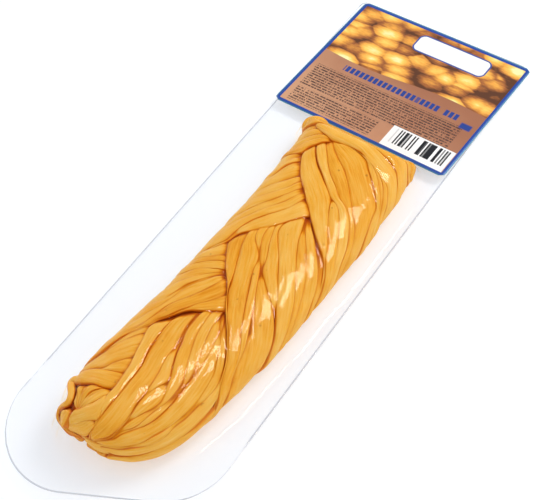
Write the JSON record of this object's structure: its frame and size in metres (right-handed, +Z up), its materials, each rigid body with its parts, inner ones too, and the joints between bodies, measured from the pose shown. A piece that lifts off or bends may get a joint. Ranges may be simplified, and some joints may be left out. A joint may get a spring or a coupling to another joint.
{
  "type": "sealed braided string cheese",
  "caption": "Smoked string cheese plaited from flat-fibred strands, lying in a clear vacuum pack with a wide flat border and a plain printed label across one end.",
  "frame": {"origin": "on the table, under the middle of the pack's length and width", "axes": "+Z up out of the pack, +Y along the pack towards the label, +X across the pack"},
  "size_m": [0.0856, 0.2662, 0.0254],
  "materials": {
    "cheese": "golden amber smoked cheese with silky fibres, satin",
    "film": "clear glossy packing film",
    "label": "printed label paper in copper brown, amber and blue, low gloss"
  },
  "bodies": {
    "root": {"sealed_pack": "cheese", "label": "label"}
  },
  "joints": []
}
